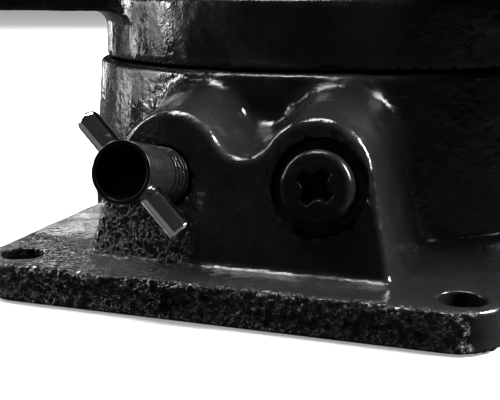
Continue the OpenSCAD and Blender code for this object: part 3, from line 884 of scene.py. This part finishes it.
def gloss_black_casting():
    """Black gloss over sand-cast iron: rough where the sand shows and at the sawn lug ends."""
    finish = Finish("gloss_black_casting")
    paint = tuple(bpy.context.scene.vise_finishes.paint)
    parts = finish.add("ShaderNodeSeparateXYZ", {}, {0: finish.place})
    x, y, z = (Wire(socket) for socket in parts.socket.node.outputs)
    reach = LUG_REACH * MM
    sawn = finish.step(y * -1.0, reach - 0.0014, reach - 0.0004)
    low_left = finish.step(x * -1.0, 0.004, 0.016) * finish.step(0.03 - z, 0.004, 0.014)
    low_left = low_left * finish.step(y * -1.0, 0.066, 0.069)
    sand = finish.noise(1.3, 3.0, 0.6)
    lumps = finish.noise(5.0, 2.0, 0.5)
    patch = finish.noise(19.0, 2.0, 0.5)
    fine = finish.noise(0.4, 2.0, 0.5)
    pits = finish.step(finish.cells(2.6), 0.07, 0.2)
    rough_here = finish.step(patch, 0.48, 0.62)
    coarse = (low_left * 0.7 + sawn).clipped()
    chipped = finish.step(finish.noise(1.1, 4.0, 0.65), 0.44, 0.56)
    height = sand * (0.5 + 0.4 * rough_here) + lumps * 0.7 + pits * 0.08
    normal = finish.relief(height + (chipped + lumps) * coarse * 3.0, 0.11)
    normal = finish.relief(fine, 0.03, normal)
    dust = finish.step(finish.noise(0.7, 4.0, 0.7), 0.68, 0.8)
    dust = dust * finish.step(finish.noise(7.0), 0.42, 0.6)
    colour = finish.blend(patch, shade(paint, 0.75), shade(paint, 1.3))
    colour = finish.blend(dust * 0.35, colour, shade((0.25, 0.25, 0.24), 1.0))
    cloud = finish.step(finish.noise(8.0, 4.0, 0.62), 0.36, 0.66)
    gloss = 0.09 + 0.24 * cloud + 0.3 * dust
    finish.set(Base_Color=colour, Roughness=gloss.clipped(), Normal=normal, IOR=1.4)
    return finish.material


def dark_screw_steel():
    """Oiled black steel: worn to grey in streaks, with fine turning marks and a few rusty grains."""
    finish = Finish("dark_screw_steel")
    dark = tuple(bpy.context.scene.vise_finishes.blackened)
    lean = (math.radians(13), 0.0, 0.0)
    streak = finish.noise(1.0, 4.0, 0.6, finish.stretched((1.0, 0.35, 2.4), lean))
    grain = finish.noise(0.5, 4.0, 0.65)
    worn = finish.step(streak, 0.48, 0.68)
    rust = finish.step(finish.noise(1.3, 4.0, 0.7), 0.68, 0.8)
    colour = finish.blend(worn, shade(dark, 0.8), shade(dark, 1.9))
    colour = finish.blend(rust * 0.6, colour, shade((0.13, 0.075, 0.045), 1.0))
    gloss = 0.12 + 0.18 * grain + 0.2 * rust
    normal = finish.relief(grain + streak, 0.008)
    metal = 0.15 + 0.6 * worn * streak
    finish.set(Base_Color=colour, Metallic=metal, IOR=1.25)
    finish.set(Roughness=gloss.clipped(), Normal=normal)
    return finish.material


def cup_painted_shade():
    """Painted shade: a near-black, lightly mottled finish put inside the cup of the lock screw, where the
    recess lies in shade.
    """
    finish = Finish("cup_painted_shade")
    mottle = finish.noise(1.2, 3.0, 0.6)
    # painted shade: two near-blacks, mottled by noise, stand in for the dark inside the recess
    colour = finish.blend(mottle, (0.001, 0.001, 0.001, 1.0), (0.004, 0.004, 0.004, 1.0))
    finish.set(Base_Color=colour, IOR=1.2)
    finish.set(Roughness=0.6 + 0.3 * mottle, Normal=finish.relief(mottle, 0.03))
    return finish.material


def polished_bar():
    """Bright polished steel with hair scratches round the rod and a few dull spots."""
    finish = Finish("polished_bar")
    steel = tuple(c * 1.5 for c in bpy.context.scene.vise_finishes.steel)
    spots = finish.step(finish.noise(1.6, 4.0, 0.65), 0.6, 0.72)
    hair = finish.noise(0.9, 3.0, 0.6, finish.stretched((3.0, 3.0, 0.4)))
    colour = finish.blend(spots * 0.5, shade(steel, 1.15), shade(steel, 0.6))
    gloss = 0.05 + 0.06 * hair + 0.18 * spots
    finish.set(Base_Color=colour, Metallic=1.0)
    finish.set(Roughness=gloss.clipped(), Normal=finish.relief(hair, 0.006))
    return finish.material


def ground_steel():
    """Ground hardened steel: straight fine grinding lines along the jaw and light staining."""
    finish = Finish("ground_steel")
    steel = tuple(bpy.context.scene.vise_finishes.steel)
    lines = finish.noise(0.6, 3.0, 0.6, finish.stretched((1.0, 0.03, 1.6)))
    stain = finish.noise(14.0, 4.0, 0.6)
    colour = finish.blend(finish.step(stain, 0.45, 0.7), shade(steel, 0.85), shade(steel, 0.6))
    gloss = 0.24 + 0.16 * lines + 0.12 * stain
    finish.set(Base_Color=colour, Metallic=1.0)
    finish.set(Roughness=gloss.clipped(), Normal=finish.relief(lines, 0.012))
    return finish.material


def turned_steel():
    """Turned steel: rings across the axis, and oil-darkened in random patches."""
    finish = Finish("turned_steel")
    steel = tuple(bpy.context.scene.vise_finishes.steel)
    rings = finish.noise(0.5, 2.0, 0.6, finish.stretched((1.4, 0.08, 0.08)))
    oil = finish.noise(9.0, 4.0, 0.6)
    colour = finish.blend(finish.step(oil, 0.42, 0.66), shade(steel, 0.8), shade(steel, 0.42))
    gloss = 0.2 + 0.2 * rings + 0.1 * oil
    finish.set(Base_Color=colour, Metallic=1.0)
    finish.set(Roughness=gloss.clipped(), Normal=finish.relief(rings, 0.012))
    return finish.material


def bronze():
    """Cast bronze: warm, a little tarnished in patches."""
    finish = Finish("bronze")
    metal = tuple(bpy.context.scene.vise_finishes.bronze)
    tarnish = finish.step(finish.noise(4.0, 4.0, 0.65), 0.45, 0.68)
    grain = finish.noise(0.6, 3.0, 0.6)
    colour = finish.blend(tarnish, shade(metal, 1.1), shade(metal, 0.45))
    gloss = 0.26 + 0.2 * grain + 0.1 * tarnish
    finish.set(Base_Color=colour, Metallic=1.0)
    finish.set(Roughness=gloss.clipped(), Normal=finish.relief(grain, 0.02))
    return finish.material


DIM = 0.04


def floor_paper():
    """Pale paper, a little uneven. To the camera it glows softly; the castings see it as a dimmer grey."""
    finish = Finish("floor_paper")
    tint = finish.noise(260.0, 2.0)
    bright = finish.blend(tint, (0.5, 0.5, 0.5, 1.0), (0.53, 0.53, 0.53, 1.0))
    finish.set(Base_Color=bright, Roughness=0.9)
    finish.set(Emission_Color=(1.0, 1.0, 1.0, 1.0), Emission_Strength=0.3)
    dim = finish.add("ShaderNodeBsdfDiffuse", {}, {"Color": (DIM, DIM, DIM, 1.0)})
    seen = finish.add("ShaderNodeLightPath", {}, {}, "Is Camera Ray")
    glow = Wire(finish.shader.outputs[0])
    mix = finish.add("ShaderNodeMixShader", {}, {0: seen, 1: dim, 2: glow})
    feed(finish.nodes["Material Output"].inputs["Surface"], mix)
    return finish.material


MAKERS = (
    gloss_black_casting, dark_screw_steel, polished_bar, ground_steel, turned_steel, bronze, cup_painted_shade,
)
FINISHES = {maker.__name__: maker for maker in MAKERS}


def coat(piece, slot):
    """Gives a piece the finish of one of the record's slots, made once and shared.
    The frame has a flat material with each slot's own name, which is why a finish's name has a tail."""
    material = bpy.data.materials.get(slot + FINISH_TAIL) or FINISHES[slot]()
    piece.data.materials.clear()
    piece.data.materials.append(material)


def settle(piece, body, slot, *nodes):
    """A new piece gets its finish, rides on its body and stands for the CAD nodes named."""
    coat(piece, slot)
    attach(piece, body)
    if nodes:
        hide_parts(*nodes)


# ---------------------------------------------------------------- operators


CAMERA_PLACE = (0.048474, -0.212238, 0.050807)
CAMERA_ANGLES = (18.364, 12.659, 0.211)
CAMERA_LENS = 66.17


class VISE_OT_camera(Operator):
    """Sets the camera in front and to the right, above the lugs and looking down at the lock boss"""

    bl_idname = "vise.camera"
    bl_label = "Camera"
    bl_options = {"REGISTER", "UNDO"}

    def execute(self, context):
        yaw, pitch, roll = (math.radians(angle) for angle in CAMERA_ANGLES)
        reach, drop = math.cos(pitch), math.sin(pitch)
        ahead = Vector((-math.sin(yaw) * reach, math.cos(yaw) * reach, -drop))
        level = Vector((math.cos(yaw), math.sin(yaw), 0.0))
        upright = level.cross(ahead)
        right = math.cos(roll) * level + math.sin(roll) * upright
        up = math.cos(roll) * upright - math.sin(roll) * level
        data = bpy.data.cameras.new("camera")
        data.sensor_fit = "HORIZONTAL"
        data.sensor_width = 36.0
        data.lens = CAMERA_LENS
        data.clip_start = 0.005
        camera = bpy.data.objects.new("camera", data)
        bpy.context.scene.collection.objects.link(camera)
        turn = Matrix((right, up, -ahead)).transposed().to_4x4()
        camera.matrix_world = Matrix.Translation(CAMERA_PLACE) @ turn
        bpy.context.scene.camera = camera
        return {"FINISHED"}


# Each lamp: its name, place in metres, width, height and watts.
LAMPS = (
    ("high_key", (-0.12, 0.03, 0.75), 0.6, 0.25, 10.0),
    ("left_side", (-0.62, 0.10, 0.46), 0.22, 0.35, 7.0),
    ("right_side", (0.62, 0.10, 0.46), 0.22, 0.35, 32.0),
    ("left_front", (-0.60, -0.17, 0.17), 0.08, 0.30, 2.2),
    ("back_panel", (-0.20, 0.85, 0.62), 1.1, 0.5, 12.0),
    ("low_left_back", (-0.55, 0.75, 0.26), 0.22, 0.10, 0.3),
    ("left_strip", (-0.34, 0.02, 0.10), 0.03, 0.3, 0.25),
    ("left_strip_far", (-0.30, 0.22, 0.10), 0.03, 0.3, 0.12),
)
LAMP_AIM = (0.0, -0.05, 0.02)


def soft_light(name, place, width, height, power):
    """A rectangular lamp at a place in metres, turned towards the lock boss and hidden from the camera."""
    data = bpy.data.lights.new(name, "AREA")
    data.shape = "RECTANGLE"
    data.size = width
    data.size_y = height
    data.energy = power
    lamp = bpy.data.objects.new(name, data)
    bpy.context.scene.collection.objects.link(lamp)
    lamp.location = place
    lamp.visible_camera = False
    lamp.rotation_euler = (Vector(LAMP_AIM) - Vector(place)).to_track_quat("-Z", "Y").to_euler()


class VISE_OT_stage(Operator):
    """Lays a pale floor, sets a pale backdrop that reflects dimly, and hangs the lamps"""

    bl_idname = "vise.stage"
    bl_label = "Floor and lights"
    bl_options = {"REGISTER", "UNDO"}

    def execute(self, context):
        far, below = 6000.0, -0.3
        ring = [(-far, -far, below), (far, -far, below), (far, far, below), (-far, far, below)]
        ground = new_object("floor", ring, [(0, 1, 2, 3)])
        ground.data.materials.append(floor_paper())
        world = bpy.data.worlds.new("backdrop")
        bpy.context.scene.world = world
        world.use_nodes = True
        nodes, links = world.node_tree.nodes, world.node_tree.links
        room = nodes["Background"]
        room.inputs["Color"].default_value = (1.0, 1.0, 1.0, 1.0)
        seen = nodes.new("ShaderNodeLightPath")
        level = nodes.new("ShaderNodeMapRange")
        level.inputs["To Min"].default_value = DIM
        level.inputs["To Max"].default_value = 1.0
        links.new(seen.outputs["Is Camera Ray"], level.inputs["Value"])
        links.new(level.outputs["Result"], room.inputs["Strength"])
        for lamp in LAMPS:
            soft_light(*lamp)
        view = bpy.context.scene.view_settings
        view.view_transform = "Standard"
        view.exposure = 0.35
        view.gamma = 0.82
        return {"FINISHED"}


class VISE_OT_base(Operator):
    """Builds the base casting: drum, lugs and lock boss"""

    bl_idname = "vise.base"
    bl_label = "Base casting"
    bl_options = {"REGISTER", "UNDO"}

    def execute(self, context):
        edge = 29.0
        fine, coarse, high = ((0.55, 1.15, 0.6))
        xs = stations((-58.3, -edge, coarse), (-edge, edge, fine), (edge, 58.3, coarse))
        ys = stations((-86.4, -52.1, fine), (-52.1, 86.4, coarse))
        zs = stations((-1.23, 38.2, high))
        piece = skin("base_casting_skin", base_field, base_detail, (xs, ys, zs), "base_casting")
        settle(piece, "base", "gloss_black_casting", "base_casting")
        return {"FINISHED"}


class VISE_OT_lock(Operator):
    """Builds the lock screw with its thread and cup, the tommy bar and the retaining screw"""

    bl_idname = "vise.lock"
    bl_label = "Lock and retaining screws"
    bl_options = {"REGISTER", "UNDO"}

    def execute(self, context):
        screw = lock_screw()
        settle(screw, "lock_screw", "dark_screw_steel", "lock_screw")
        paint_cup_shade(screw)
        settle(lock_bar(), "lock_screw", "polished_bar", "lock_bar")
        levels = tuple(stations((middle - 8.1, middle + 8.1, 0.22)) for middle in KEEP_FOOT)
        piece = skin("retaining_screw_skin", keep_field, keep_detail, levels, "retaining_screw")
        settle(piece, "base", "dark_screw_steel", "retaining_screw")
        return {"FINISHED"}


class VISE_OT_body(Operator):
    """Builds the vise body and the moving jaw"""

    bl_idname = "vise.body"
    bl_label = "Vise body and moving jaw"
    bl_options = {"REGISTER", "UNDO"}

    def execute(self, context):
        step = 1.3
        levels = tuple(stations((a - 1.9, b + 2.1, step)) for a, b in zip(BODY_LOW, BODY_HIGH))
        piece = skin("vise_body_skin", body_field, body_detail, levels, "vise_body")
        settle(piece, "vise_body", "gloss_black_casting", "vise_body")
        step = 0.85
        levels = tuple(stations((a - 1.3, b + 1.4, step)) for a, b in zip(JAW_LOW, JAW_HIGH))
        piece = skin("moving_jaw_skin", jaw_field, jaw_detail, levels, "moving_jaw")
        settle(piece, "moving_jaw", "gloss_black_casting", "moving_jaw")
        return {"FINISHED"}


class VISE_OT_handle(Operator):
    """Builds the lead screw, the handle hub, the handle bar and its knobs"""

    bl_idname = "vise.handle"
    bl_label = "Lead screw and handle"
    bl_options = {"REGISTER", "UNDO"}

    def execute(self, context):
        settle(lead_screw(), "lead_screw", "turned_steel", "lead_screw")
        levels = tuple(stations((a - 0.9, b + 0.95, 0.5)) for a, b in zip(HUB_LOW, HUB_HIGH))
        piece = skin("handle_hub_skin", hub_field, no_relief, levels, "handle_hub")
        settle(piece, "lead_screw", "gloss_black_casting", "handle_hub")
        settle(handle_bar(), "handle_bar", "polished_bar", "handle_bar")
        settle(handle_knob("knob_front", -1), "handle_bar", "polished_bar", "handle_knobs")
        settle(handle_knob("knob_rear", 1), "handle_bar", "polished_bar")
        return {"FINISHED"}


class VISE_OT_finish(Operator):
    """Gives the machined CAD pieces that stay their finishes"""

    bl_idname = "vise.finish"
    bl_label = "Finishes of the machined pieces"
    bl_options = {"REGISTER", "UNDO"}

    def execute(self, context):
        wear = {
            "ground_steel": ("fixed_jaw_plate", "moving_jaw_plate"),
            "dark_screw_steel": (
                "fixed_plate_screws", "moving_plate_screws", "keeper_bolts", "bush_set_screw", "jaw_keeper",
                "screw_retainer",
            ),
            "turned_steel": ("retainer_screws", "thrust_pad", "hub_pin"),
            "bronze": ("screw_bush", "brake_plug"),
        }
        for slot, nodes in wear.items():
            for node in nodes:
                coat(frame["nodes"][node], slot)
        return {"FINISHED"}


STEPS = (
    VISE_OT_camera, VISE_OT_stage, VISE_OT_base, VISE_OT_lock, VISE_OT_body, VISE_OT_handle, VISE_OT_finish,
)


class VISE_PT_panel(Panel):
    """The build steps and the sizes that they use"""

    bl_label = "Machine vise"
    bl_idname = "VISE_PT_panel"
    bl_space_type = "VIEW_3D"
    bl_region_type = "UI"
    bl_category = "Vise"

    def draw(self, context):
        for step in STEPS:
            self.layout.operator(step.bl_idname)
        scene = context.scene
        for group in (scene.vise_castings, scene.vise_screws, scene.vise_finishes):
            for name in group.__annotations__:
                self.layout.prop(group, name)


GROUPS = {"vise_castings": CastingSizes, "vise_screws": ScrewSizes, "vise_finishes": FinishColours}


def register():
    for name, group in GROUPS.items():
        bpy.utils.register_class(group)
        setattr(bpy.types.Scene, name, PointerProperty(type=group))
    for item in STEPS + (VISE_PT_panel,):
        bpy.utils.register_class(item)


def unregister():
    for item in reversed(STEPS + (VISE_PT_panel,)):
        bpy.utils.unregister_class(item)
    for name, group in GROUPS.items():
        delattr(bpy.types.Scene, name)
        bpy.utils.unregister_class(group)


def main():
    register()
    for step in STEPS:
        family, name = step.bl_idname.split(".")
        getattr(getattr(bpy.ops, family), name)()


if __name__ == "__main__":
    main()
